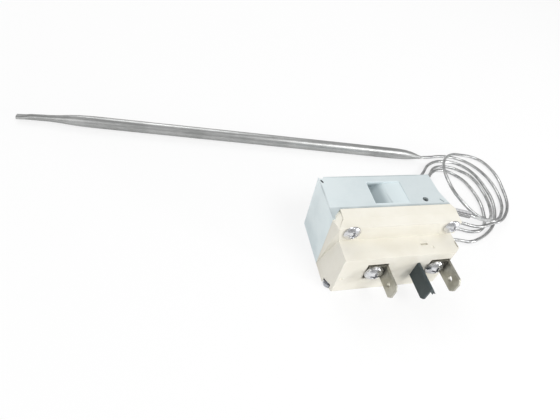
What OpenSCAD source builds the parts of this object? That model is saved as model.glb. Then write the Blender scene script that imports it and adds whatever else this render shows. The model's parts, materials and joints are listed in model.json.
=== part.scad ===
// Capillary thermostat: folded sheet housing, moulded terminal base, liquid-filled
// sensing bulb on a coiled capillary, control spindle at the rear.
// Millimetres. +Y points to the mounting face, -Y to the terminals, +Z up.

/* [Housing] */
// Width of the folded sheet housing
housing_w = 39.2; // [30:0.1:60]
// Depth of the housing from its front edges to the mounting face
housing_d = 17; // [12:0.1:30]
// Height of the housing
housing_h = 22.6; // [18:0.1:40]
// Thickness of the zinc-plated sheet
sheet_t = 0.8; // [0.5:0.05:1.5]
// How far the top sheet's front edge sits behind the side sheets' front edges
top_setback = 3.5; // [2:0.1:8]
// Distance from the front at which the right side sheet starts to flare out
flare_y = 9; // [6:0.1:14]
// How far the right side sheet flares out over the base
flare_out = 1.4; // [0.5:0.1:3]
// Left edge of the window in the top sheet
window_x = 15.3; // [10:0.1:20]
// Front edge of the window in the top sheet
window_y = 5; // [4:0.1:8]
// Width of the window in the top sheet
window_w = 11.7; // [6:0.1:16]
// Depth of the window in the top sheet
window_d = 9; // [5:0.1:11]
// How far the pressed-in louvre dips at its open left end
louvre_drop = 2.9; // [1:0.1:4]
// Thickness of the louvre's drawn walls
louvre_wall = 0.4; // [0.3:0.05:0.7]
// Position across of the small round hole in the top sheet
top_hole_x = 32.9; // [30:0.1:36]
// Position in depth of the small round hole in the top sheet
top_hole_y = 5.9; // [5:0.1:9]
// Diameter of the small round hole in the top sheet
top_hole_d = 1.9; // [1:0.1:3]
// Diameter of the two fixing holes in the rear sheet
fixing_hole_d = 4.2; // [3:0.1:5]
// Distance between the two fixing holes
fixing_spacing = 28; // [24:0.5:32]
// Size of the corner relief notch at the rear edge of the top sheet
relief_d = 1.6; // [0.8:0.1:2.5]

/* [Base] */
// Width of the moulded base at its foot
base_w = 42.5; // [38:0.1:60]
// Height of the ledge in front of the step
ledge_h = 16.4; // [12:0.1:20]
// How far the base stands in front of the housing
base_front = 10.9; // [7:0.1:16]
// How far the step face stands in front of the housing
step_front = 3.6; // [2:0.1:6]
// Drop of the top face towards the step
top_fall = 0.7; // [0:0.1:2]
// Inward lean of the left flank per millimetre of height
flank_lean = 0.14; // [0:0.01:0.2]
// Width of the front corner chamfers
corner_w = 2.1; // [1:0.1:4]
// Depth of the front corner chamfers
corner_d = 4; // [2:0.1:6]
// Width of the contact chamber
chamber_w = 30; // [24:0.5:31]
// Height of the contact chamber
chamber_h = 11; // [8:0.1:12]
// Thickness of the wall between the contact chamber and the front face
front_wall = 1.9; // [1.5:0.1:3]
// Fit clearance between the base and the sheet around it
base_clear = 0.15; // [0.1:0.05:0.5]

/* [Control spindle] */
// Position of the spindle axis from the housing's left side
spindle_x = 20; // [18:0.1:22]
// Height of the spindle axis
spindle_z = 10; // [9:0.1:12]
// Diameter of the spindle
spindle_d = 6; // [4:0.1:8]
// How far the spindle stands out behind the mounting face
spindle_out = 9.5; // [8:0.1:20]
// Length of the flat ground on the spindle's end
flat_len = 4.5; // [2:0.1:6]
// Depth of the flat ground on the spindle's end
flat_depth = 1.4; // [0.5:0.1:2]
// Diameter of the spindle's inner threaded end
thread_d = 4; // [3:0.1:5]
// Running clearance around the spindle and its thread, on the radius
run_clear = 0.06; // [0.02:0.01:0.1]
// Outer diameter of the bush's neck behind the rear sheet
bush_neck_d = 8.2; // [7.5:0.1:9]
// How far the bush stands out behind the mounting face
bush_out = 1.5; // [1:0.1:3]
// Width across the square travelling nut
nut_w = 9; // [7:0.1:12]
// Thickness of the travelling nut
nut_t = 2.5; // [2:0.1:4]

/* [Diaphragm and contacts] */
// Diameter of the diaphragm capsule
capsule_d = 18; // [14:0.1:18.4]
// Thickness of the diaphragm capsule at its rim
capsule_t = 1.2; // [0.8:0.1:2]
// Diameter of the push pin
pin_d = 2.4; // [1.6:0.1:3]
// Running clearance around the push pin, on the radius
pin_clear = 0.05; // [0.02:0.01:0.1]
// Thickness of the guide plate
guide_t = 1.5; // [1:0.1:2]
// Thickness of the contact blade
blade_t = 0.3; // [0.2:0.05:0.5]
// Width of the contact blade
blade_w = 5; // [3:0.1:7]
// Diameter of the contact buttons
button_d = 3.6; // [2:0.1:4]

/* [Terminals] */
// Width of the tab terminals
tab_w = 6.3; // [4.8:0.1:9.5]
// Thickness of the tab terminals
tab_t = 0.8; // [0.5:0.1:1]
// Distance from the base's front face to the tab tips
tab_out = 8.3; // [6:0.1:12]
// Diameter of the hole in each tab
tab_hole_d = 1.7; // [1.2:0.1:2.5]
// Height of the tabs' lower edge
tab_z = 6.5; // [5:0.1:9]
// Position of the left tab's outer face across the base
tab_left_x = 16.9; // [15:0.1:18]
// Position of the right tab's outer face across the base
tab_right_x = 38; // [36:0.1:38.4]
// Length of the terminals' flats that lie on the base
terminal_flat = 6.2; // [5:0.1:8]
// Depth of the pockets that the terminals lie in
pocket_depth = 0.5; // [0.3:0.1:0.8]
// Head diameter of the terminal screws
terminal_head_d = 5.5; // [4:0.1:6]
// Shank diameter of the terminal screws
terminal_shank_d = 2.9; // [2:0.1:3]
// Head diameter of the screws that hold the base
base_head_d = 5.2; // [4:0.1:5.6]
// Shank diameter of the screws that hold the base
base_shank_d = 2.4; // [2:0.1:3]
// Thickness of the insulating barrier strip
barrier_t = 0.8; // [0.4:0.1:1.2]
// How far the barrier stands out from the base's front face
barrier_out = 9.2; // [6:0.1:14]

/* [Sensor] */
// Outer diameter of the capillary tube
capillary_d = 1.2; // [0.8:0.1:2]
// Diameter of the sleeve at the capillary's exit
sleeve_d = 2.4; // [2:0.1:4]
// Diameter of the sensing bulb
bulb_d = 4.6; // [3:0.1:8]
// Length of the sensing bulb with both of its closed ends
bulb_len = 163; // [60:1:200]
// Outer diameter of the capillary coil that lies beside the housing
coil_d = 46; // [30:0.1:60]
// Width of the bundle of turns in the capillary coil
coil_bundle = 12; // [3:0.1:16]
// Height of the bundle of turns in the capillary coil
coil_h = 3.8; // [2:0.1:12]

/* [Hidden] */
// Centre of the whole body, which is moved to the middle of the frame
middle_x = base_w / 2;
tip_y = -base_front - barrier_out;
end_y = housing_d + spindle_out;
middle_y = (tip_y + end_y) / 2;

// Planes along the depth, front to back
front_y = -base_front;
step_y = -step_front;
chamber_y = front_y + front_wall;
rear_in_y = housing_d - sheet_t;
body_seam_y = -0.1;
rim_y = 2.4;
tongue_y = top_setback - 0.1;
guide_y = 0.6;
capsule_y = 3.4;
bridge_y = 6;
bridge_w = 22;
bridge_h = 9;
bridge_tab_h = 6;
spring_y = bridge_y + sheet_t;
nut_y = 9.6;
collar_y = 13.3;
collar_t = 1;
clip_y = housing_d + bush_out + 0.55;
clip_t = 0.7;
flange_y = collar_y + collar_t + 0.3;
pin_tip_y = -4.5;
blade_y = -4.9;
button_t = 0.6;
seat_gap = 0.1;

// Positions across the base and of the bridge's two legs
left_flank_top = flank_lean * housing_h;
ledge_right = base_w - 2.2;
block_right = base_w - 1.1;
block_right_rear = base_w - 1.9;
chamber_x = 7;
chamber_z = 4;
left_screw_x = 5.4;
right_screw_x = 38.6;
base_screw_z = housing_h - 2.55;
left_terminal_x = 13;
right_terminal_x = 33.8;
terminal_z = tab_z + 3.3;
button_x = 28.8;
corner_x = 1.67;
corner_y = -8.13;
notch_h = 2.2;
bridge_legs = [spindle_x - bridge_w / 2, spindle_x + bridge_w / 2 - sheet_t];
stud_d = 4.4;
barrier_x = 27;
screw_reach = 8.4;
bore_clear = 0.1;
cut = 1;

// Capillary: where it leaves the right side, and the points that it lies along
exit_x = 40;
exit_y = 8.5;
exit_z = 16;
exit_hole_d = 3.4;
feed_x = 25.3;
sleeve_len = 13;
sleeve_turn = -21.4;
coil_centre = [70.5, 26.8, 0.05];
bulb_neck = [60.5, 48.7];
bulb_turn = 171;
lead_points = [[52, 3.8, 16], [53.7, 3.5, 15.4], [56.3, 4, 14], [59.9, 5.1, 11.8],
    [64, 6.5, 9.2], [68, 8.2, 6.9], [72.2, 11.1, 5], [76.5, 16.3, 3.1]];
tail_points = [[77, 48.6, 1.3], [75, 49.5, 1.6], [72.6, 49.5, 1.9], [70.1, 49.3, 2.2],
    [67.9, 49, 2.3], [65.7, 48.8, 2.3], [63, 48.7, 2.3], [60.4, 48.7, 2.3]];

// Moves drawings made from the housing's front left foot to the middle of the frame
module placed() {
    translate([-middle_x, -middle_y, 0])
        children();
}

// A round bar along +Y that starts at the given depth
module bar_y(x, y, z, d, len) {
    translate([x, y, z])
        rotate([-90, 0, 0])
            cylinder(h = len, d = d, $fn = 48);
}

// A turned shape about the Y axis: points are radius and depth
module turned_y(x, z, points) {
    translate([x, 0, z])
        rotate([-90, 0, 0])
            rotate_extrude($fn = 48)
                polygon(points);
}

// A shape drawn in X and Z, pushed along +Y
module slab_y(y, len) {
    translate([0, y + len, 0])
        rotate([90, 0, 0])
            linear_extrude(len)
                children();
}

// A shape drawn in Y and Z, pushed along +X
module slab_x(x, len) {
    translate([x, 0, 0])
        rotate([90, 0, 90])
            linear_extrude(len)
                children();
}

// Direction of the path at each of its points
function heading(p, i) =
    let (a = p[max(i - 1, 0)], b = p[min(i + 1, len(p) - 1)]) (b - a) / norm(b - a);

// One ring of the tube's wall: corner points across the path
function ring_at(p, i, r, sides) =
    let (t = heading(p, i), side = cross(t, [0, 0, 1]), u = side / norm(side), v = cross(u, t))
    [for (k = [0:sides - 1]) p[i] + r * (cos(360 * k / sides) * u + sin(360 * k / sides) * v)];

// A tube swept along a path as one closed surface
module swept(p, d, sides) {
    last = len(p) - 1;
    walls = [for (i = [0:last]) each ring_at(p, i, d / 2, sides)];
    sheets = [for (i = [0:last - 1]) for (k = [0:sides - 1])
        [i * sides + k, i * sides + (k + 1) % sides, (i + 1) * sides + (k + 1) % sides,
            (i + 1) * sides + k]];
    first_end = [for (k = [sides - 1:-1:0]) k];
    far_end = [for (k = [0:sides - 1]) last * sides + k];
    polyhedron(walls, concat([first_end, far_end], sheets));
}

// A pan-head cross-recess screw along +Y, its head in front of the seat
module pan_screw(x, seat, z, head_d, head_h, shank_d, shank_len) {
    dome_r = head_d * 0.72;
    difference() {
        union() {
            bar_y(x, seat - 0.01, z, shank_d, shank_len + 0.01);
            intersection() {
                bar_y(x, seat - head_h, z, head_d, head_h);
                translate([x, seat - head_h + dome_r, z])
                    sphere(r = dome_r, $fn = 48);
            }
        }
        translate([x, seat - head_h + 0.35, z])
            cube([head_d * 0.56, 1.5, 0.7], center = true);
        translate([x, seat - head_h + 0.35, z])
            cube([0.7, 1.5, head_d * 0.56], center = true);
    }
}

// Plan outline of the top sheet, with its front corner cut and its flared side
module top_outline() {
    polygon([[0, 0], [top_setback - 0.2, top_setback], [housing_w + flare_out, top_setback],
        [housing_w, flare_y], [housing_w, housing_d], [0, housing_d]]);
}

// Plan outline of the right side sheet
module right_outline() {
    out_x = housing_w + flare_out;
    polygon([[out_x - sheet_t, 0.3], [out_x, 0.3], [out_x, top_setback], [housing_w, flare_y],
        [housing_w, housing_d], [housing_w - sheet_t, housing_d],
        [housing_w - sheet_t, flare_y - 0.1], [out_x - sheet_t, top_setback - 0.1]]);
}

// Floor line of the louvre in X and Z: level at the right, falling away to the left
louvre_floor = [[window_x - cut, housing_h - louvre_drop - 0.45],
    [window_x, housing_h - louvre_drop], [window_x + 4.3, housing_h - 0.95],
    [window_x + 5.2, housing_h - 0.6], [window_x + 6.2, housing_h - 0.38],
    [window_x + window_w, housing_h - 0.15]];

// Louvre pressed down into the window: walls at its front and rear, open at its left end
module louvre() {
    right_x = window_x + window_w;
    difference() {
        slab_y(window_y - louvre_wall, window_d + 2 * louvre_wall)
            polygon([[window_x, housing_h - louvre_drop - louvre_wall],
                [window_x + 4.5, housing_h - 0.95 - louvre_wall],
                [right_x - 2, housing_h - sheet_t - 0.05],
                [right_x + 0.5, housing_h - sheet_t + 0.1], [right_x + 0.5, housing_h - 0.1],
                [window_x, housing_h - 0.1]]);
        slab_y(window_y, window_d)
            polygon(concat(louvre_floor,
                [[right_x, housing_h + cut], [window_x - cut, housing_h + cut]]));
    }
}

module housing() {
    lug_y = top_setback + 0.1;
    color("lightsteelblue")
        placed()
            difference() {
                union() {
                    // Top, bottom, left, right and rear sheets of the folding
                    translate([0, 0, housing_h - sheet_t])
                        linear_extrude(sheet_t)
                            top_outline();
                    cube([housing_w, housing_d, sheet_t]);
                    cube([sheet_t, housing_d, housing_h]);
                    linear_extrude(housing_h)
                        right_outline();
                    translate([0, rear_in_y, 0])
                        cube([housing_w, sheet_t, housing_h]);
                    // Lugs bent in from the side sheets for the base screws
                    translate([sheet_t / 2, lug_y, 17])
                        cube([left_screw_x + 2.4, sheet_t, housing_h - 17.4]);
                    translate([right_screw_x - 2.2, lug_y, 17])
                        cube([3.7, sheet_t, housing_h - 17.4]);
                }
                // Window, small hole and corner relief in the top sheet
                translate([window_x, window_y, housing_h - sheet_t - cut])
                    cube([window_w, window_d, sheet_t + 2 * cut]);
                translate([top_hole_x, top_hole_y, housing_h - sheet_t - cut])
                    cylinder(h = sheet_t + 2 * cut, d = top_hole_d, $fn = 48);
                translate([relief_d / 2, housing_d, housing_h - relief_d])
                    cylinder(h = 3 * cut, d = relief_d, $fn = 48);
                // Room for the base's ear at the top of the flared side
                translate([housing_w - 0.5, -cut, ledge_h - base_clear])
                    cube([4, top_setback + cut, housing_h]);
                // Small slanted slot beside the flare
                translate([38.4, 5.1, housing_h - sheet_t - cut])
                    rotate([0, 0, -50])
                        translate([-0.8, -0.2, 0])
                            cube([1.6, 0.4, sheet_t + 2 * cut]);
                // Rear sheet: bush hole, fixing holes and bridge slots
                bar_y(spindle_x, rear_in_y - cut, spindle_z, bush_neck_d + 2 * bore_clear,
                    sheet_t + 2 * cut);
                for (side = [-1, 1])
                    bar_y(spindle_x + side * fixing_spacing / 2, rear_in_y - cut, spindle_z,
                        fixing_hole_d, sheet_t + 2 * cut);
                for (x = bridge_legs)
                    translate([x - bore_clear, rear_in_y - cut,
                        spindle_z - bridge_tab_h / 2 - bore_clear])
                        cube([sheet_t + 2 * bore_clear, sheet_t + 2 * cut,
                            bridge_tab_h + 2 * bore_clear]);
                // Lug threads and the capillary's exit hole
                for (x = [left_screw_x, right_screw_x])
                    bar_y(x, lug_y - cut, base_screw_z, base_shank_d + bore_clear, sheet_t + 2 * cut);
                exit_bar(housing_w - 2, exit_hole_d, 4);
            }
    color("lightsteelblue")
        placed()
            louvre();
}

// Solid of the base before its chamber, pockets and holes are cut
module base_solid() {
    intersection() {
        slab_y(front_y, body_seam_y - front_y)
            polygon([[0, 0], [base_w, 0], [ledge_right, ledge_h], [block_right, ledge_h],
                [block_right, housing_h], [left_flank_top, housing_h],
                [flank_lean * ledge_h, ledge_h]]);
        linear_extrude(housing_h)
            polygon([[0, 0], [0, front_y + corner_d], [corner_w, front_y],
                [base_w - 2 * corner_w, front_y], [base_w, front_y + corner_d - 0.5], [base_w, 0]]);
        slab_x(-cut, base_w + 2 * cut)
            polygon([[front_y, 0], [front_y, ledge_h], [step_y, ledge_h],
                [step_y, housing_h - top_fall], [0.5, housing_h - 0.2], [0.5, 0]]);
    }
    // Rim that fits inside the side and bottom sheets
    translate([sheet_t + base_clear, body_seam_y - 0.01, sheet_t + base_clear])
        cube([housing_w - 1.6 - 2 * base_clear + 0.6, rim_y - body_seam_y, 17.4]);
    // Upper tongue, flush with the top sheet
    intersection() {
        linear_extrude(housing_h)
            polygon([[left_flank_top, body_seam_y - 0.01], [block_right, body_seam_y - 0.01],
                [block_right + 0.2, 1.6], [block_right_rear, tongue_y], [left_flank_top, tongue_y]]);
        slab_x(-cut, base_w + 2 * cut)
            polygon([[-1, ledge_h], [tongue_y, ledge_h], [tongue_y, housing_h],
                [-1, housing_h - 0.3]]);
    }
}

module base() {
    color("antiquewhite")
        placed()
            difference() {
                base_solid();
                // Contact chamber and the recess for the guide plate
                translate([chamber_x, chamber_y, chamber_z])
                    cube([chamber_w, rim_y - chamber_y + cut, chamber_h]);
                translate([chamber_x - 1.5, guide_y, chamber_z - 1.5])
                    cube([chamber_w + 3, rim_y, chamber_h + 3]);
                // Room for the diaphragm under the upper tongue
                bar_y(spindle_x, rim_y, spindle_z, capsule_d + 1, 2);
                // Pockets that the terminals lie in
                for (x = [tab_left_x, tab_right_x])
                    translate([x - terminal_flat - 0.4, front_y - cut, tab_z - 0.3])
                        cube([terminal_flat + 0.6, pocket_depth + cut, tab_w + 0.9]);
                // Holes for the terminal screws and the base screws
                for (x = [left_terminal_x, right_terminal_x])
                    bar_y(x, front_y, terminal_z, terminal_shank_d + 2 * bore_clear, front_wall + cut);
                for (x = [left_screw_x, right_screw_x])
                    bar_y(x, step_y - cut, base_screw_z, base_shank_d + 0.6, 12);
                // Slot for the barrier strip
                slab_y(front_y - cut, cut + 1.3)
                    barrier_outline(0.08);
                // Notch for the corner screw at the foot of the corner chamfer
                translate([corner_x, corner_y, -cut])
                    cylinder(h = notch_h + cut, d = 3.5, $fn = 48);
                translate([corner_x, corner_y, 0])
                    cylinder(h = notch_h + 3, d = 1.3, $fn = 48);
                // Vent slot, ejector marks and the slit at the ledge's right end
                translate([28, -7.2, ledge_h - 0.8])
                    cube([2.4, 0.6, 2]);
                translate([31.5, -8.2, ledge_h - 0.2])
                    cylinder(h = 1, d = 1, $fn = 48);
                bar_y(3.4, front_y - cut, 7, 1.1, cut + 0.2);
                translate([ledge_right - 0.5, -8.9, ledge_h - 2.6])
                    cube([0.4, 2.3, 3]);
            }
}

module base_screws() {
    color("silver")
        placed()
            for (x = [left_screw_x, right_screw_x])
                pan_screw(x, step_y, base_screw_z, base_head_d, 1.5, base_shank_d, screw_reach);
}

module corner_screw() {
    head_d = 3;
    color("dimgray")
        placed()
            translate([corner_x, corner_y, 0])
                difference() {
                    union() {
                        translate([0, 0, 0.05])
                            cylinder(h = 1.25, d = head_d, $fn = 48);
                        translate([0, 0, 0.6])
                            cylinder(h = notch_h + 2, d = 1.2, $fn = 48);
                    }
                    // Driver slot
                    translate([0, 0, 0.1])
                        cube([head_d + cut, 0.5, 0.7], center = true);
                }
}

// An angle terminal: flat on the base, tab standing out, its tip chamfered
module terminal(x) {
    seat = front_y + pocket_depth;
    tip = front_y - tab_out;
    difference() {
        union() {
            translate([x - terminal_flat, seat - tab_t, tab_z])
                cube([terminal_flat, tab_t, tab_w]);
            slab_x(x - tab_t, tab_t)
                polygon([[seat, tab_z], [tip + 1, tab_z], [tip, tab_z + 1.4],
                    [tip, tab_z + tab_w - 1.4], [tip + 1, tab_z + tab_w], [seat, tab_z + tab_w]]);
        }
        translate([x - tab_t - cut, tip + 3.5, tab_z + tab_w / 2])
            rotate([0, 90, 0])
                cylinder(h = tab_t + 2 * cut, d = tab_hole_d, $fn = 48);
    }
}

module terminal_left() {
    color("darkkhaki")
        placed()
            difference() {
                terminal(tab_left_x);
                bar_y(left_terminal_x, front_y - 3, terminal_z, terminal_shank_d + bore_clear, 5);
            }
}

module terminal_right() {
    color("darkkhaki")
        placed()
            difference() {
                terminal(tab_right_x);
                bar_y(right_terminal_x, front_y - 3, terminal_z, terminal_shank_d + bore_clear, 5);
            }
}

module terminal_washers() {
    washer_t = 0.3;
    color("gainsboro")
        placed()
            for (x = [left_terminal_x, right_terminal_x])
                difference() {
                    bar_y(x, front_y + pocket_depth - tab_t - washer_t, terminal_z, 5.9, washer_t);
                    bar_y(x, front_y - 3, terminal_z, terminal_shank_d + bore_clear, 5);
                }
}

module terminal_screws() {
    seat = front_y + pocket_depth - tab_t - 0.3;
    color("silver")
        placed()
            for (x = [left_terminal_x, right_terminal_x])
                pan_screw(x, seat, terminal_z, terminal_head_d, 1.5, terminal_shank_d, 4.2);
}

// Folded strip seen along the depth: one upright leg, one leg sloping down to the right
module barrier_outline(grow) {
    top_z = 12.4;
    polygon([[barrier_x - grow, 5.7 - grow], [barrier_x + barrier_t + grow, 5.7 - grow],
        [barrier_x + barrier_t + grow, 10.6 - grow], [29.9, 8 - grow], [30.6 + grow, 8.6],
        [barrier_x + barrier_t, top_z + grow], [barrier_x - grow, top_z + grow]]);
}

module barrier() {
    tip = front_y - barrier_out;
    color("darkslategray")
        placed()
            difference() {
                slab_y(tip, barrier_out + 1.2)
                    barrier_outline(0);
                // Cut corners at the free end
                translate([barrier_x - cut, tip, 5.7])
                    rotate([45, 0, 0])
                        cube([5, 1.4, 1.4], center = true);
                translate([barrier_x + 3, tip, 8.2])
                    rotate([0, 0, 45])
                        cube([1.2, 1.2, 4], center = true);
            }
}

module bush() {
    bore = spindle_d / 2 + run_clear;
    color("goldenrod")
        placed()
            turned_y(spindle_x, spindle_z, [[bore, flange_y], [5.4, flange_y], [5.4, rear_in_y],
                [bush_neck_d / 2, rear_in_y], [bush_neck_d / 2, housing_d + bush_out],
                [bore, housing_d + bush_out]]);
}

module spindle() {
    r = spindle_d / 2;
    groove_r = r - 0.6;
    color("silver")
        placed()
            difference() {
                turned_y(spindle_x, spindle_z, [[0, nut_y - 0.6], [thread_d / 2 - 0.4, nut_y - 0.6],
                    [thread_d / 2, nut_y - 0.2], [thread_d / 2, collar_y], [4.5, collar_y],
                    [4.5, collar_y + collar_t], [r, collar_y + collar_t], [r, clip_y],
                    [groove_r, clip_y], [groove_r, clip_y + clip_t], [r, clip_y + clip_t],
                    [r, end_y - 0.5], [r - 0.5, end_y], [0, end_y]]);
                // Flat and screwdriver slot at the outer end
                translate([spindle_x - r - cut, end_y - flat_len, spindle_z + r - flat_depth])
                    cube([spindle_d + 2 * cut, flat_len + cut, 3]);
                translate([spindle_x - r - cut, end_y - 1.5, spindle_z - 0.5])
                    cube([spindle_d + 2 * cut, 3, 1]);
            }
}

module spindle_clip() {
    inner = spindle_d / 2 - 0.6;
    color("dimgray")
        placed()
            difference() {
                turned_y(spindle_x, spindle_z, [[inner, clip_y + 0.02], [4.6, clip_y + 0.02],
                    [4.6, clip_y + clip_t - 0.02], [inner, clip_y + clip_t - 0.02]]);
                translate([spindle_x - 1.2, clip_y - cut, spindle_z - 6])
                    cube([2.4, clip_t + 2 * cut, 6 - inner + 0.4]);
            }
}

module travelling_nut() {
    color("goldenrod")
        placed()
            difference() {
                translate([spindle_x - nut_w / 2, nut_y, spindle_z - nut_w / 2])
                    cube([nut_w, nut_t, nut_w]);
                bar_y(spindle_x, nut_y - cut, spindle_z, thread_d + 2 * run_clear, nut_t + 2 * cut);
            }
}

module range_spring() {
    rise = nut_y - 0.3 - spring_y;
    color("lightslategray")
        placed()
            turned_y(spindle_x, spindle_z, [[4.2, spring_y + 0.05], [4.9, spring_y + 0.05],
                [4.9, spring_y + 0.4], [3.4, spring_y + rise], [2.8, spring_y + rise],
                [2.8, spring_y + rise - 0.35]]);
}

module bridge() {
    color("lightsteelblue")
        placed()
            difference() {
                union() {
                    translate([bridge_legs[0], bridge_y, spindle_z - bridge_h / 2])
                        cube([bridge_w, sheet_t, bridge_h]);
                    for (x = bridge_legs) {
                        translate([x, bridge_y, spindle_z - bridge_h / 2])
                            cube([sheet_t, rear_in_y - bridge_y, bridge_h]);
                        translate([x, rear_in_y - 0.2, spindle_z - bridge_tab_h / 2])
                            cube([sheet_t, sheet_t + 0.2, bridge_tab_h]);
                    }
                }
                bar_y(spindle_x, bridge_y - cut, spindle_z, 5.2, sheet_t + 2 * cut);
            }
}

module diaphragm() {
    r = capsule_d / 2;
    color("silver")
        placed()
            difference() {
                turned_y(spindle_x, spindle_z, [[0, 3.05], [2, 3.05], [2, capsule_y], [3.6, capsule_y],
                    [4.4, capsule_y + 0.3], [5.4, capsule_y], [6.4, capsule_y + 0.3],
                    [r - 1.6, capsule_y + 0.1], [r, capsule_y + 0.4],
                    [r, capsule_y + capsule_t + 0.4], [r - 1.6, bridge_y - 0.6],
                    [4.6, bridge_y - 0.6], [4.6, bridge_y], [2.5, bridge_y],
                    [2.5, bridge_y + sheet_t + 0.6], [0, bridge_y + sheet_t + 0.6]]);
                bar_y(spindle_x, bridge_y + 0.6, spindle_z, 2, 2);
            }
}

module capillary_feed() {
    color("silver")
        placed() {
            bar_y(feed_x, capsule_y + capsule_t, exit_z, capillary_d, exit_y - capsule_y - capsule_t);
            translate([feed_x, exit_y, exit_z])
                sphere(d = capillary_d, $fn = 48);
            translate([feed_x, exit_y, exit_z])
                rotate([0, 90, 0])
                    cylinder(h = exit_x - feed_x, d = capillary_d, $fn = 48);
        }
}

// A short bar along +X on the capillary's line through the right side sheet
module exit_bar(start_x, d, len) {
    translate([start_x, exit_y, exit_z])
        rotate([0, 90, 0])
            cylinder(h = len, d = d, $fn = 48);
}

module exit_grommet() {
    start_x = housing_w - 1.5;
    len = exit_x + 0.2 - start_x;
    color("dimgray")
        placed()
            difference() {
                union() {
                    exit_bar(start_x, exit_hole_d, len);
                    difference() {
                        exit_bar(start_x, exit_hole_d + 1.2, len);
                        linear_extrude(housing_h)
                            right_outline();
                    }
                }
                exit_bar(start_x - cut, capillary_d, len + 2 * cut);
            }
}

module push_pin() {
    color("white")
        placed()
            turned_y(spindle_x, spindle_z, [[0, pin_tip_y], [0.8, pin_tip_y],
                [pin_d / 2, pin_tip_y + 0.4], [pin_d / 2, 2.65], [1.8, 2.65], [1.8, 2.95], [0, 2.95]]);
}

module guide_plate() {
    edge = 0.1;
    color("saddlebrown")
        placed()
            difference() {
                translate([chamber_x - 1.5 + edge, guide_y, chamber_z - 1.5 + edge])
                    cube([chamber_w + 3 - 2 * edge, guide_t, chamber_h + 3 - 2 * edge]);
                bar_y(spindle_x, guide_y - cut, spindle_z, pin_d + 2 * pin_clear, guide_t + 2 * cut);
            }
}

module blade_post() {
    color("darkkhaki")
        placed()
            difference() {
                turned_y(left_terminal_x, terminal_z, [[0, chamber_y], [2.4, chamber_y],
                    [2.4, blade_y - 0.3], [1, blade_y - 0.3], [1, blade_y + blade_t + 0.3],
                    [2, blade_y + blade_t + 0.3], [2, blade_y + blade_t + 0.9],
                    [0, blade_y + blade_t + 0.9]]);
                bar_y(left_terminal_x, chamber_y - cut, terminal_z, terminal_shank_d + bore_clear, 3.4);
            }
}

module contact_blade() {
    color("peru")
        placed()
            difference() {
                translate([left_terminal_x - 2.2, blade_y, terminal_z - blade_w / 2])
                    cube([button_x - left_terminal_x + 4.4, blade_t, blade_w]);
                bar_y(left_terminal_x, blade_y - cut, terminal_z, 2.6, blade_t + 2 * cut);
            }
}

module moving_contact() {
    color("silver")
        placed()
            bar_y(button_x, blade_y + blade_t, terminal_z, button_d, button_t);
}

module fixed_contact() {
    color("silver")
        placed()
            bar_y(button_x, blade_y + blade_t + button_t + seat_gap, terminal_z, button_d, button_t);
}

module contact_carrier() {
    strip_y = blade_y + blade_t + 2 * button_t + seat_gap;
    color("darkkhaki")
        placed()
            difference() {
                union() {
                    bar_y(right_terminal_x, chamber_y, terminal_z, stud_d, strip_y - chamber_y + 0.4);
                    translate([button_x - 2.2, strip_y, terminal_z - 2.5])
                        cube([right_terminal_x - button_x + 4.6, 0.8, 5]);
                }
                bar_y(right_terminal_x, chamber_y - cut, terminal_z, terminal_shank_d + bore_clear, 3.4);
            }
}

module capillary_sleeve() {
    color("gray")
        placed()
            translate([exit_x - 0.1, exit_y + 0.04, exit_z])
                rotate([0, 90, sleeve_turn])
                    cylinder(h = sleeve_len, d = sleeve_d, $fn = 48);
}

module capillary_lead() {
    color("slategray")
        placed()
            swept(lead_points, capillary_d, 8);
}

module capillary_coil() {
    r = coil_d / 2;
    inner = r - coil_bundle;
    soft = 1;
    color("slategray")
        placed()
            translate(coil_centre)
                rotate_extrude($fn = 96)
                    polygon([[inner, soft], [inner + soft, 0], [r - soft, 0], [r, soft],
                        [r, coil_h - soft], [r - soft, coil_h], [inner + soft, coil_h],
                        [inner, coil_h - soft]]);
}

module capillary_tail() {
    color("slategray")
        placed()
            swept(tail_points, capillary_d, 8);
}

module bulb() {
    r = bulb_d / 2;
    crimp = 9.5;
    color("gray")
        placed()
            translate([bulb_neck[0], bulb_neck[1], r])
                rotate([0, 0, bulb_turn])
                    difference() {
                        rotate([0, 90, 0])
                            rotate_extrude($fn = 48)
                                polygon([[0, 0], [0.9, 0], [0.9, 2.5], [r, 10],
                                    [r, bulb_len - 22], [r * 0.72, bulb_len - crimp],
                                    [r * 0.72, bulb_len], [0, bulb_len]]);
                        // Closed end pressed flat from above and below
                        for (side = [-1, 1])
                            translate([bulb_len, 0, side * (r * 0.36 + 2)])
                                cube([2 * crimp, 3 * r, 4], center = true);
                    }
}

housing();
base();
base_screws();
corner_screw();
terminal_left();
terminal_right();
terminal_screws();
terminal_washers();
barrier();
bush();
spindle();
spindle_clip();
travelling_nut();
range_spring();
bridge();
diaphragm();
push_pin();
guide_plate();
contact_blade();
moving_contact();
fixed_contact();
contact_carrier();
blade_post();
capillary_feed();
exit_grommet();
capillary_sleeve();
capillary_lead();
capillary_coil();
capillary_tail();
bulb();
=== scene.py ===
import json
import math

import bmesh
import bpy
from mathutils import Matrix, Vector


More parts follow.
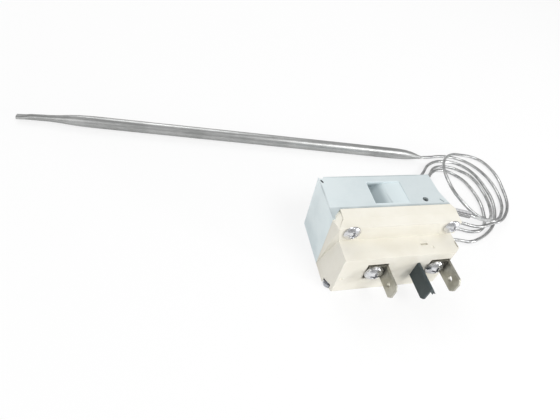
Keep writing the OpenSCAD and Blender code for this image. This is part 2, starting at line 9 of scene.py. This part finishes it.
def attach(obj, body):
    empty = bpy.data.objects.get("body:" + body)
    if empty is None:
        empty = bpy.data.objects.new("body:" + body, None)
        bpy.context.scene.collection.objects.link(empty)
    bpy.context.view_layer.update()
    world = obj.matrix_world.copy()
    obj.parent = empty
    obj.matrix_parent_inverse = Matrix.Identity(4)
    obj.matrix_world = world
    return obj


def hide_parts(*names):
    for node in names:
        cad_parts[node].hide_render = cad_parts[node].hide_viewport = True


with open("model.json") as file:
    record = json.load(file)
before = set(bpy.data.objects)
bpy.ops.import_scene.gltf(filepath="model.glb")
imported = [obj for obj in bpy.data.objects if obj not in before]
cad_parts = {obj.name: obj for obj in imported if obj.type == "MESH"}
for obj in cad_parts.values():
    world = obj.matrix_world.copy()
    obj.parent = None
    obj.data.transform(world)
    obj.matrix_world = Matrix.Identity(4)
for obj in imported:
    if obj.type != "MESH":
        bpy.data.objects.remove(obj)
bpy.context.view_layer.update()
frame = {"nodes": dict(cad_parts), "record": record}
nodes = frame["nodes"]
mm = 0.001
print("frame loaded:", len(nodes), "nodes")


# shader wiring: one wrapped socket, sums written as plain maths

class Wire:
    def __init__(self, tree, socket):
        self.tree = tree
        self.socket = socket

    def maths(self, operation, first, second=None):
        node = self.tree.nodes.new("ShaderNodeMath")
        node.operation = operation
        feed(self.tree, node.inputs[0], first)
        if second is not None:
            feed(self.tree, node.inputs[1], second)
        return Wire(self.tree, node.outputs[0])

    def __add__(self, other):
        return self.maths("ADD", self, other)

    def __radd__(self, other):
        return self.maths("ADD", other, self)

    def __sub__(self, other):
        return self.maths("SUBTRACT", self, other)

    def __rsub__(self, other):
        return self.maths("SUBTRACT", other, self)

    def __mul__(self, other):
        return self.maths("MULTIPLY", self, other)

    def __rmul__(self, other):
        return self.maths("MULTIPLY", other, self)

    def __truediv__(self, other):
        return self.maths("DIVIDE", self, other)

    def __rtruediv__(self, other):
        return self.maths("DIVIDE", other, self)

    def __pow__(self, other):
        return self.maths("POWER", self, other)

    def sine(self):
        return self.maths("SINE", self)

    def size(self):
        return self.maths("ABSOLUTE", self)

    def ramp(self, low, high):  # 0 below low, 1 above high
        node = self.tree.nodes.new("ShaderNodeMapRange")
        node.interpolation_type = "SMOOTHSTEP"
        feed(self.tree, node.inputs["Value"], self)
        feed(self.tree, node.inputs["From Min"], low)
        feed(self.tree, node.inputs["From Max"], high)
        return Wire(self.tree, node.outputs["Result"])


def feed(tree, slot, value):
    if isinstance(value, Wire):
        tree.links.new(value.socket, slot)
    else:
        slot.default_value = value


class Finish:
    def __init__(self, name):
        self.material = bpy.data.materials.new(name)
        self.material.use_nodes = True
        self.tree = self.material.node_tree
        self.shader = self.tree.nodes["Principled BSDF"]

    def add(self, kind, settings=None, values=None, out=0):
        node = self.tree.nodes.new("ShaderNode" + kind)
        for name, value in (settings or {}).items():
            setattr(node, name, value)
        for name, value in (values or {}).items():
            feed(self.tree, node.inputs[name], value)
        return Wire(self.tree, node.outputs[out])

    def place(self, scale=(1, 1, 1), turn=(0, 0, 0), shift=(0, 0, 0)):
        spot = self.add("TexCoord", out="Object")
        return self.add("Mapping", None, {"Vector": spot, "Scale": scale, "Rotation": turn,
                                          "Location": shift})

    def noise(self, where, scale, detail=3.0, rough=0.55):
        return self.add("TexNoise", None, {"Vector": where, "Scale": scale, "Detail": detail,
                                           "Roughness": rough})

    def blend(self, amount, first, second, mode="MIX"):
        return self.add("Mix", {"data_type": "RGBA", "blend_type": mode},
                        {0: amount, 6: first, 7: second}, out=2)

    def bump(self, height, strength, distance):
        return self.add("Bump", None, {"Height": height, "Strength": strength,
                                       "Distance": distance})

    def wear(self, **values):
        for name, value in values.items():
            feed(self.tree, self.shader.inputs[name.replace("_", " ")], value)
        return self.material


def shade(red, green, blue):
    return (red, green, blue, 1.0)


# camera at the photograph's viewpoint

camera = {
    "spot": (-0.062943, -0.069953, 0.104214),
    "right": (0.96976931, -0.19053568, 0.15245862),
    "up": (0.04276063, 0.74778939, 0.66255759),
    "back": (-0.2402478, -0.63600879, 0.73333063),
    "lens": 25.203,
}


def makeCamera(values):
    data = bpy.data.cameras.new("camera")
    data.sensor_width = 36
    data.lens = values["lens"]
    data.clip_start = 0.002
    data.clip_end = 20
    cameraObject = bpy.data.objects.new("camera", data)
    bpy.context.scene.collection.objects.link(cameraObject)
    turn = Matrix((values["right"], values["up"], values["back"])).transposed()
    cameraObject.matrix_world = Matrix.Translation(values["spot"]) @ turn.to_4x4()
    bpy.context.scene.camera = cameraObject


makeCamera(camera)
print("camera set")


# capillary: one thin tube from the sleeve, round the loose coil, to the bulb

capillary = {
    "diameter": 1.2,
    "route": (
        (30.75, 0.6, 16), (32.45, 0.3, 15.4), (35.05, 0.8, 14), (38.65, 1.9, 11.8),
        (42.75, 3.3, 9.2), (46.75, 5, 6.9), (50.95, 7.9, 5), (55.25, 13.1, 3.1),
        (58.45, 19.1, 1.7), (60.25, 24.6, 0.9), (60.35, 31.4, 0.8), (59.05, 35.2, 0.8),
        (56.45, 37.8, 0.8), (52.65, 40.2, 0.8), (48.45, 40.9, 0.8), (44.45, 40.1, 0.8),
        (41.15, 37, 0.8), (33.25, 27.3, 0.7), (29.75, 19.8, 0.7), (29.95, 13.3, 0.7),
        (33.25, 8.1, 0.7), (38.95, 6.1, 0.7), (41.25, 5.1, 0.7), (44.55, 4.7, 0.7),
        (48.05, 5.6, 0.7), (51.25, 8.8, 0.8), (53.75, 13.9, 0.8), (55.25, 18.7, 0.8),
        (55.75, 23.2, 0.8), (55.55, 27.9, 0.8), (54.55, 32.2, 0.8), (52.15, 35.6, 0.8),
        (48.55, 37.2, 1.5), (44.45, 37.4, 2.1), (40.55, 35.8, 2.2), (36.85, 32.1, 2.1),
        (29.25, 24.3, 2), (25.75, 16.3, 2), (25.95, 8.6, 1.9), (29.55, 3.2, 1.1),
        (36.65, 0.9, 0.7), (39.75, 0.2, 0.7), (44.25, 1.2, 0.7), (49.25, 3.5, 0.7),
        (53.75, 6.7, 0.7), (57.05, 10.5, 0.8), (60.15, 15.7, 0.8), (62.15, 21.2, 0.8),
        (62.75, 26.1, 0.8), (62.85, 31.3, 0.8), (62.15, 36, 0.8), (60.05, 40.1, 0.8),
        (56.65, 42.9, 0.8), (51.55, 43.5, 1.4), (46.15, 42.8, 2.1), (40.75, 40.2, 2.5),
        (35.75, 35.2, 3.2), (29.95, 29, 3.4), (26.75, 21.3, 3.4), (27.55, 13.8, 3.2),
        (31.95, 8.8, 2.8), (39.35, 7.8, 2.4), (42.55, 6.6, 2.2), (46.05, 5.7, 2.2),
        (49.95, 6.2, 2.2), (53.85, 7.2, 2.1), (57.45, 8, 2), (62.15, 11.2, 1.5),
        (66.45, 15.7, 1), (69.15, 20.3, 0.8), (71.35, 26.7, 0.8), (72.95, 33.1, 0.8),
        (72.95, 39, 0.8), (71.05, 44.3, 0.8), (67.05, 46.9, 1), (61.45, 47.1, 2),
        (55.65, 45.8, 3.6), (49.35, 42, 5.4), (44.15, 36.4, 7), (41.15, 31.1, 8),
        (39.25, 24.8, 8.5), (38.95, 19.3, 8.2), (40.65, 15.2, 7), (43.25, 11.9, 5.5),
        (46.15, 9.5, 4.3), (49.25, 8, 3.6), (52.25, 7.2, 3.4), (56.15, 8.5, 3),
        (61.05, 12.7, 1.9), (65.25, 18.2, 0.8), (67.25, 24.4, 0.8), (67.85, 30.2, 0.8),
        (67.35, 35.2, 0.8), (65.65, 39.7, 0.8), (62.65, 43.6, 0.8), (58.85, 45.9, 0.9),
        (53.75, 46.5, 1.6), (48.85, 46.1, 2.2), (44.45, 45.6, 2.3), (39.25, 45.5, 2.3),
    ),
    "length": 0.542,
}


def makeCapillary(values):
    line = bpy.data.curves.new("capillary_tube", "CURVE")
    line.dimensions = "3D"
    line.bevel_depth = 1  # the knots carry the tube's radius, which keeps the bounds tight
    line.bevel_resolution = 3
    line.resolution_u = 8
    line.use_fill_caps = True
    spline = line.splines.new("BEZIER")
    spline.bezier_points.add(len(values["route"]) - 1)
    for knot, point in zip(spline.bezier_points, values["route"]):
        knot.co = Vector(point) * mm
        knot.radius = values["diameter"] * mm / 2
        knot.handle_left_type = knot.handle_right_type = "AUTO"
    tube = bpy.data.objects.new("capillary_tube", line)
    bpy.context.scene.collection.objects.link(tube)
    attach(tube, "frame")
    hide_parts("capillary_lead", "capillary_coil", "capillary_tail")
    return tube


capillaryTube = makeCapillary(capillary)
print("capillary laid")


# finishes

def zincSheet():
    look = {"tone": shade(0.80, 0.875, 0.89), "cloud": shade(0.73, 0.81, 0.83), "rough": 0.38,
            "dipShade": shade(0.29, 0.35, 0.37), "relief": shade(0.03, 0.035, 0.04),
            "seamShade": shade(0.36, 0.42, 0.43)}
    finish = Finish("zincSheet")
    spot = finish.place()
    clouds = finish.noise(spot, 90, 4)
    grain = finish.noise(finish.place((260, 3600, 260)), 1, 2)
    scuffs = finish.noise(finish.place((2400, 500, 900)), 1, 3)
    across = finish.add("SeparateXYZ", None, {"Vector": spot}, out="X")
    along = finish.add("SeparateXYZ", None, {"Vector": spot}, out="Y")
    height = finish.add("SeparateXYZ", None, {"Vector": spot}, out="Z")
    inLouvre = (across.ramp(-0.0062, -0.0059) * (1 - across.ramp(0.0056, 0.0059))
                * along.ramp(0.0013, 0.0016) * (1 - along.ramp(0.0110, 0.0113)))
    # painted shade: the louvre's tongue darkens where it dips below the sheet
    dipShade = inLouvre * (1 - height.ramp(0.0213, 0.0226))
    # painted shade: dark lines along the top sheet's front, rear and left edges, broken up by the clouds
    fore = (1 - along.ramp(0.0007, 0.0011)) * height.ramp(0.0222, 0.0224)
    back = along.ramp(0.01325, 0.0136) * height.ramp(0.0222, 0.0224)
    side = (1 - across.ramp(-0.02110, -0.02085)) * height.ramp(0.0221, 0.0223)
    seamShade = fore.maths("MAXIMUM", fore, back.maths("MAXIMUM", back, side)) * clouds.ramp(0.25, 0.55)
    tone = finish.blend(clouds.ramp(0.35, 0.75), look["tone"], look["cloud"])
    tone = finish.blend(scuffs.ramp(0.62, 0.72) * 0.25, tone, shade(0.84, 0.88, 0.89))
    tone = finish.blend(inLouvre, tone, look["cloud"])
    tone = finish.blend(dipShade * 0.85, tone, look["dipShade"])
    tone = finish.blend(seamShade * 0.55, tone, look["seamShade"])
    # painted shade: a dark dot stands for the shadowed inside of the corner relief hole
    aside = (across + 0.02056) + (along - 0.01183) * 0.36
    reach = ((aside * 2.1) ** 2 + (along - 0.01183) ** 2) ** 0.5
    tone = finish.blend((1 - reach.ramp(0.0006, 0.0008)) * height.ramp(0.0221, 0.0222), tone,
                        look["relief"])
    return finish.wear(Base_Color=tone, Metallic=0.5 - inLouvre * 0.2,
                       Roughness=look["rough"] + clouds * 0.14 + grain * 0.06 + inLouvre * 0.2,
                       Normal=finish.bump(grain * 0.6 + scuffs * 0.4, 0.12, 0.00005))


def creamMoulding():
    look = {"tone": shade(0.80, 0.775, 0.695), "deep": shade(0.76, 0.73, 0.64),
            "barrierShadow": shade(0.40, 0.40, 0.35)}
    finish = Finish("creamMoulding")
    spot = finish.place()
    clouds = finish.noise(spot, 120, 3)
    flecks = finish.noise(spot, 2600, 2)
    skin = finish.noise(spot, 900, 3)
    tone = finish.blend(clouds.ramp(0.35, 0.75), look["tone"], look["deep"])
    tone = finish.blend(flecks.ramp(0.70, 0.78) * 0.35, tone, shade(0.55, 0.47, 0.33))
    across = finish.add("SeparateXYZ", None, {"Vector": spot}, out="X")
    along = finish.add("SeparateXYZ", None, {"Vector": spot}, out="Y")
    height = finish.add("SeparateXYZ", None, {"Vector": spot}, out="Z")
    # painted shadow: the barrier's cast shadow on the base's front face, to its left
    reach = (((across - 0.0042) / 0.0023) ** 2 + ((height - 0.0062) / 0.0044) ** 2) ** 0.5
    barrierShadow = (1 - reach.ramp(0.35, 1.1)) * (1 - along.ramp(-0.0138, -0.0137))
    tone = finish.blend(barrierShadow * 0.6, tone, look["barrierShadow"])
    return finish.wear(Base_Color=tone, Roughness=0.42 + skin * 0.12,
                       Normal=finish.bump(skin, 0.10, 0.00006))


def brightScrew():
    finish = Finish("brightScrew")
    spot = finish.place()
    clouds = finish.noise(spot, 700, 3)
    rings = finish.noise(finish.place((500, 4200, 500)), 1, 2)
    tone = finish.blend(clouds.ramp(0.4, 0.7), shade(0.78, 0.785, 0.80), shade(0.54, 0.545, 0.57))
    return finish.wear(Base_Color=tone, Metallic=1.0, Roughness=0.18 + clouds * 0.16,
                       Normal=finish.bump(rings, 0.15, 0.00004))


def darkSteel():
    finish = Finish("darkSteel")
    clouds = finish.noise(finish.place(), 900, 3)
    tone = finish.blend(clouds, shade(0.36, 0.38, 0.42), shade(0.60, 0.62, 0.66))
    return finish.wear(Base_Color=tone, Metallic=0.8, Roughness=0.35 + clouds * 0.2,
                       Normal=finish.bump(clouds, 0.2, 0.00004))


def terminalMetal():
    finish = Finish("terminalMetal")
    spot = finish.place()
    clouds = finish.noise(spot, 260, 4)
    streaks = finish.noise(finish.place((3800, 160, 600)), 1, 3)
    tone = finish.blend(clouds.ramp(0.38, 0.68), shade(0.51, 0.50, 0.44), shade(0.36, 0.35, 0.29))
    tone = finish.blend(streaks.ramp(0.58, 0.75) * 0.4, tone, shade(0.62, 0.60, 0.52))
    # painted shade: darker from the base's front face backwards, where the terminals sit inside its pockets
    along = finish.add("SeparateXYZ", None, {"Vector": spot}, out="Y")
    tone = finish.blend(along.ramp(-0.0165, -0.0138) * 0.85, tone, shade(0.10, 0.095, 0.08))
    return finish.wear(Base_Color=tone, Metallic=0.85, Roughness=0.36 + clouds * 0.16,
                       Normal=finish.bump(streaks, 0.14, 0.00004))


def barrierStrip():
    finish = Finish("barrierStrip")
    spot = finish.place()
    fibres = finish.noise(finish.place((900, 5200, 900)), 1, 3)
    clouds = finish.noise(spot, 240, 3)
    tone = finish.blend(clouds, shade(0.027, 0.040, 0.044), shade(0.048, 0.066, 0.070))
    tone = finish.blend(fibres.ramp(0.6, 0.72) * 0.3, tone, shade(0.12, 0.14, 0.14))
    return finish.wear(Base_Color=tone, Roughness=0.48 + fibres * 0.2,
                       Normal=finish.bump(fibres, 0.25, 0.00006))


def turnedMetal(name, tone, dull, metallic, rough):
    finish = Finish(name)
    spot = finish.place()
    clouds = finish.noise(spot, 420, 3)
    turning = finish.noise(finish.place((260, 6000, 260)), 1, 2)
    mixed = finish.blend(clouds.ramp(0.35, 0.7), tone, dull)
    return finish.wear(Base_Color=mixed, Metallic=metallic, Roughness=rough + clouds * 0.12,
                       Normal=finish.bump(turning, 0.2, 0.00005))


def drawnTube(name, tone, dull, scale):
    finish = Finish(name)
    clouds = finish.noise(finish.place(), scale, 4)
    specks = finish.noise(finish.place(), scale * 14, 2)
    mixed = finish.blend(clouds.ramp(0.35, 0.72), tone, dull)
    mixed = finish.blend(specks.ramp(0.6, 0.75) * 0.35, mixed, shade(0.62, 0.62, 0.60))
    return finish.wear(Base_Color=mixed, Metallic=0.92, Roughness=0.2 + clouds * 0.2,
                       Normal=finish.bump(specks, 0.18, 0.00005))


def bulbMetal():
    finish = Finish("bulbMetal")
    along = finish.place((70, 2200, 2200), (0, 0, math.radians(9)))
    streaks = finish.noise(along, 1, 3)
    clouds = finish.noise(finish.place(), 75, 4)
    tone = finish.blend(clouds.ramp(0.35, 0.7), shade(0.50, 0.505, 0.50), shade(0.37, 0.375, 0.37))
    tone = finish.blend(streaks.ramp(0.55, 0.75) * 0.5, tone, shade(0.66, 0.66, 0.65))
    return finish.wear(Base_Color=tone, Metallic=0.92, Roughness=0.30 + streaks * 0.2,
                       Normal=finish.bump(streaks, 0.15, 0.00005))


def sleeveBraid():
    finish = Finish("sleeveBraid")
    spot = finish.place((1, 1, 1), (0, 0, math.radians(21.4)))
    apart = finish.add("SeparateXYZ", None, {"Vector": spot}, out="X")
    across = finish.add("SeparateXYZ", None, {"Vector": spot}, out="Z")
    over = ((apart + across) * 6600).sine()
    under = ((apart - across) * 6600).sine()
    weave = (over * under).ramp(-0.35, 0.45)
    tone = finish.blend(weave, shade(0.10, 0.10, 0.105), shade(0.62, 0.62, 0.63))
    return finish.wear(Base_Color=tone, Roughness=0.8,
                       Normal=finish.bump(weave, 0.8, 0.00012))


def pressedLaminate():
    finish = Finish("pressedLaminate")
    layers = finish.noise(finish.place((300, 5200, 300)), 1, 3)
    tone = finish.blend(layers, shade(0.22, 0.11, 0.05), shade(0.36, 0.20, 0.10))
    return finish.wear(Base_Color=tone, Roughness=0.5 + layers * 0.1,
                       Normal=finish.bump(layers, 0.2, 0.00005))


def groundCeramic():
    finish = Finish("groundCeramic")
    clouds = finish.noise(finish.place(), 1500, 3)
    tone = finish.blend(clouds, shade(0.84, 0.82, 0.76), shade(0.74, 0.71, 0.64))
    return finish.wear(Base_Color=tone, Roughness=0.35 + clouds * 0.1,
                       Normal=finish.bump(clouds, 0.1, 0.00004))


finishes = {
    "zinc_sheet": zincSheet(),
    "cream_moulding": creamMoulding(),
    "bright_screw": brightScrew(),
    "dark_steel": darkSteel(),
    "terminal_metal": terminalMetal(),
    "insulating_strip": barrierStrip(),
    "turned_brass": turnedMetal("turnedBrass", shade(0.70, 0.52, 0.24), shade(0.52, 0.37, 0.15), 1.0, 0.28),
    "spindle_steel": turnedMetal("spindleSteel", shade(0.60, 0.60, 0.60), shade(0.46, 0.46, 0.46), 1.0, 0.25),
    "spring_steel": turnedMetal("springSteel", shade(0.34, 0.35, 0.37), shade(0.24, 0.25, 0.27), 1.0, 0.3),
    "diaphragm_steel": turnedMetal("diaphragmSteel", shade(0.58, 0.58, 0.57), shade(0.45, 0.45, 0.44), 1.0, 0.24),
    "pin_ceramic": groundCeramic(),
    "guide_laminate": pressedLaminate(),
    "blade_bronze": turnedMetal("bladeBronze", shade(0.68, 0.42, 0.24), shade(0.52, 0.31, 0.17), 1.0, 0.3),
    "contact_silver": turnedMetal("contactSilver", shade(0.80, 0.79, 0.76), shade(0.66, 0.65, 0.62), 1.0, 0.22),
    "sleeve_braid": sleeveBraid(),
    "capillary_metal": drawnTube("capillaryMetal", shade(0.60, 0.605, 0.60), shade(0.37, 0.375, 0.38), 300),
    "bulb_metal": bulbMetal(),
}


def dress(thing, slotName):
    thing.data.materials.clear()
    thing.data.materials.append(finishes[slotName])


for part in frame["record"]["subparts"]:
    dress(nodes[part["node"]], part["material_slot"])
dress(capillaryTube, "capillary_metal")
print("finishes given")


# sensing bulb: necked onto the capillary, its far end drawn down and pressed shut

bulb = {
    "rings": (  # centre, half width, half height
        ((39.25, 45.50, 2.30), 0.72, 0.72), ((38.55, 45.78, 2.30), 0.80, 0.80),
        ((37.10, 46.30, 2.30), 1.25, 1.20), ((35.10, 46.85, 2.30), 1.72, 1.70),
        ((32.60, 47.50, 2.30), 2.05, 2.05), ((29.40, 48.11, 2.30), 2.24, 2.24),
        ((26.04, 48.68, 2.30), 2.29, 2.29), ((8.15, 51.66, 2.30), 2.30, 2.30),
        ((-34.50, 58.70, 2.30), 2.30, 2.30), ((-74.39, 65.24, 2.30), 2.30, 2.30),
        ((-95.50, 68.70, 2.30), 2.30, 2.30), ((-100.72, 69.52, 2.29), 2.18, 2.18),
        ((-104.20, 70.05, 2.24), 1.92, 1.92), ((-108.20, 70.62, 2.15), 1.52, 1.52),
        ((-111.63, 71.16, 2.05), 1.28, 1.28), ((-115.60, 71.72, 1.98), 1.22, 1.22),
        ((-118.60, 72.12, 1.90), 1.24, 1.12), ((-120.10, 72.30, 1.80), 1.34, 0.82),
        ((-121.60, 72.50, 1.70), 1.40, 0.74), ((-123.55, 72.74, 1.62), 1.40, 0.76),
    ),
    "sides": 32, "mouthRim": 0.3, "mouthDepth": 1.6,
}


def makeBulb(values):
    shape = bmesh.new()
    centres = [Vector(ring[0]) * mm for ring in values["rings"]]
    loops = []
    for index, (centre, wide, high) in enumerate(values["rings"]):
        before = centres[max(index - 1, 0)]
        after = centres[min(index + 1, len(centres) - 1)]
        ahead = (after - before).normalized()
        side = ahead.cross(Vector((0, 0, 1))).normalized()
        up = side.cross(ahead)
        turn = Matrix((side * wide * mm, up * high * mm, ahead * mm)).transposed().to_4x4()
        made = bmesh.ops.create_circle(shape, segments=values["sides"], radius=1,
                                       matrix=Matrix.Translation(centres[index]) @ turn)
        loops.append(made["verts"])
    for first, second in zip(loops, loops[1:]):  # vertex to vertex, so that the tube has no twist
        for here in range(values["sides"]):
            there = (here + 1) % values["sides"]
            shape.faces.new((first[here], first[there], second[there], second[here]))
    for loop in (loops[0], loops[-1]):
        shape.faces.new(loop)
    mouth = [face for face in shape.faces if len(face.verts) == values["sides"]
             and face.calc_center_median().x < -0.1]
    bmesh.ops.recalc_face_normals(shape, faces=shape.faces)
    bmesh.ops.inset_individual(shape, faces=mouth, thickness=values["mouthRim"] * mm)
    bmesh.ops.inset_individual(shape, faces=mouth, thickness=0.08 * mm,
                               depth=-values["mouthDepth"] * mm)
    mesh = bpy.data.meshes.new("bulb_tube")
    shape.to_mesh(mesh)
    shape.free()
    mesh.shade_smooth()
    mesh.set_sharp_from_angle(angle=math.radians(50))
    tube = bpy.data.objects.new("bulb_tube", mesh)
    bpy.context.scene.collection.objects.link(tube)
    dress(tube, "bulb_metal")
    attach(tube, "frame")
    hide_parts("bulb")
    return tube


makeBulb(bulb)
print("bulb made")


# softened copies: the same forms with the small edge radii of real pieces

softEdges = {
    "housing": {"radius": 0.2, "body": "frame", "slot": "zinc_sheet", "steps": 2, "longer": 5.0},
    "base": {"radius": 0.22, "body": "frame", "slot": "cream_moulding", "steps": 2,
             "fuller": {"tip": (-18.18, -6.8, 21.9), "ends": ((-18.12, -3.3, 22.33), (-18.95, -6.8, 16.4)),
                        "shift": (-2.1, 0, 0)}},
    "terminal_left": {"radius": 0.10, "body": "frame", "slot": "terminal_metal", "steps": 1},
    "terminal_right": {"radius": 0.10, "body": "frame", "slot": "terminal_metal", "steps": 1},
    "base_screws": {"radius": 0.10, "body": "frame", "slot": "bright_screw", "steps": 2},
    "terminal_screws": {"radius": 0.10, "body": "frame", "slot": "bright_screw", "steps": 2},
    "barrier": {"radius": 0.12, "body": "frame", "slot": "insulating_strip", "steps": 1},
}


def softenEdges(node, values):
    shape = bmesh.new()
    shape.from_mesh(nodes[node].data)
    bmesh.ops.remove_doubles(shape, verts=shape.verts, dist=0.002 * mm)
    bmesh.ops.dissolve_limit(shape, angle_limit=math.radians(1), verts=shape.verts,
                             edges=shape.edges, use_dissolve_boundaries=False)
    fuller = values.get("fuller")
    if fuller:  # the upper step stands further out at its left end than the flank below
        def nearest(spot):
            return min(shape.verts, key=lambda vert: (vert.co - Vector(spot) * mm).length)
        tip = nearest(fuller["tip"])
        bmesh.ops.connect_verts(shape, verts=[nearest(end) for end in fuller["ends"]])
        bmesh.ops.translate(shape, verts=[tip], vec=Vector(fuller["shift"]) * mm)
    longer = values.get("longer", 0) * mm
    sharp = [edge for edge in shape.edges if edge.calc_length() >= longer
             and len(edge.link_faces) == 2 and edge.calc_face_angle(0) > math.radians(30)]
    bmesh.ops.bevel(shape, geom=sharp, offset=values["radius"] * mm, offset_type="OFFSET",
                    segments=values["steps"], profile=0.5, affect="EDGES", clamp_overlap=True,
                    material=-1)
    mesh = bpy.data.meshes.new(node + "_soft")
    shape.to_mesh(mesh)
    shape.free()
    mesh.shade_smooth()
    mesh.set_sharp_from_angle(angle=math.radians(40))
    piece = bpy.data.objects.new(node + "_soft", mesh)
    bpy.context.scene.collection.objects.link(piece)
    flat = piece.modifiers.new("flat_faces", "WEIGHTED_NORMAL")  # faces stay flat beside the radii
    flat.keep_sharp = True
    flat.weight = 100
    dress(piece, values["slot"])
    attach(piece, values["body"])
    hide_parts(node)
    return piece


for nodeName, settings in softEdges.items():
    softenEdges(nodeName, settings)
print("edges softened:", len(softEdges), "pieces")


# shoulder of the base behind its leaning flank, up to the folded side sheet

shoulder = {
    "corners": ((-18.2, -3.25, 22.2), (-20.25, -6.75, 21.75), (-19.0, -6.75, 16.45),
                (-21.2, -3.25, 0.5), (-21.2, -3.25, 21.85), (-20.4, 0.1, 0.5),
                (-20.4, 0.1, 21.85), (-17.05, 0.1, 21.85), (-17.05, -3.25, 0.5)),
}


def makeShoulder(values):
    shape = bmesh.new()
    for corner in values["corners"]:
        shape.verts.new(Vector(corner) * mm)
    hull = bmesh.ops.convex_hull(shape, input=shape.verts)
    bmesh.ops.delete(shape, geom=list(set(hull["geom_interior"])), context="VERTS")
    bmesh.ops.recalc_face_normals(shape, faces=shape.faces)
    mesh = bpy.data.meshes.new("base_shoulder")
    shape.to_mesh(mesh)
    shape.free()
    mesh.shade_smooth()
    mesh.set_sharp_from_angle(angle=math.radians(40))
    piece = bpy.data.objects.new("base_shoulder", mesh)
    bpy.context.scene.collection.objects.link(piece)
    flat = piece.modifiers.new("flat_faces", "WEIGHTED_NORMAL")
    flat.keep_sharp = True
    flat.weight = 100
    dress(piece, "cream_moulding")
    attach(piece, "frame")


makeShoulder(shoulder)
print("shoulder made")


# floor, world and lamps

room = {
    "floorSize": 0.36, "floorSpot": (0.03, 0.08, -0.00002),
    "floorGlow": 0.76,
    "worldLevel": 0.56,
    "mirrorLevel": 0.42,
    "lamps": {
        "key": {"spot": (0.22, -0.30, 0.55), "size": 0.28, "power": 1.85},
        "side": {"spot": (0.44, -0.34, 0.11), "size": 0.10, "power": 0.95},
        "fill": {"spot": (-0.55, -0.30, 0.35), "size": 0.4, "power": 0.8},
        "rim": {"spot": (-0.10, 0.55, 0.55), "size": 0.35, "power": 1.4},
    },
}


def makeFloor(values):
    shape = bmesh.new()
    bmesh.ops.create_grid(shape, x_segments=1, y_segments=1, size=values["floorSize"])
    bmesh.ops.translate(shape, verts=shape.verts, vec=values["floorSpot"])
    mesh = bpy.data.meshes.new("floor")
    shape.to_mesh(mesh)
    shape.free()
    floor = bpy.data.objects.new("floor", mesh)
    bpy.context.scene.collection.objects.link(floor)
    finish = Finish("paleFloor")
    seen = finish.add("LightPath", out="Is Camera Ray")
    glow = finish.add("Emission", None, {"Color": shade(1, 1, 1), "Strength": 1.0})
    matt = finish.add("BsdfDiffuse", None, {"Color": shade(0.86, 0.86, 0.86)})
    mixed = finish.add("MixShader", None, {0: seen * values["floorGlow"], 1: matt, 2: glow})
    output = finish.tree.nodes["Material Output"]
    finish.tree.links.new(mixed.socket, output.inputs["Surface"])
    mesh.materials.append(finish.material)


def makeWorld(values):
    world = bpy.data.worlds.new("studio")
    bpy.context.scene.world = world
    world.use_nodes = True
    tree = world.node_tree
    back = tree.nodes["Background"]
    paths = tree.nodes.new("ShaderNodeLightPath")
    seen = Wire(tree, paths.outputs["Is Camera Ray"])
    clear = Wire(tree, paths.outputs["Is Transmission Ray"])
    mirrored = Wire(tree, paths.outputs["Is Glossy Ray"])
    level = values["worldLevel"] - mirrored * (values["worldLevel"] - values["mirrorLevel"])
    whole = seen.maths("MAXIMUM", seen, clear)
    feed(tree, back.inputs["Color"], shade(1, 1, 1))
    feed(tree, back.inputs["Strength"], level.maths("MAXIMUM", level, whole))


def makeLamps(values):
    for name, lamp in values["lamps"].items():
        data = bpy.data.lights.new(name, "AREA")
        data.shape = "SQUARE"
        data.size = lamp["size"]
        data.energy = lamp["power"]
        thing = bpy.data.objects.new(name, data)
        bpy.context.scene.collection.objects.link(thing)
        thing.location = lamp["spot"]
        aim = Vector((0.01, 0.01, 0.0)) - Vector(lamp["spot"])
        thing.rotation_euler = aim.to_track_quat("-Z", "Y").to_euler()


makeFloor(room)
makeWorld(room)
makeLamps(room)
bpy.context.scene.view_settings.view_transform = "Standard"
print("room lit")
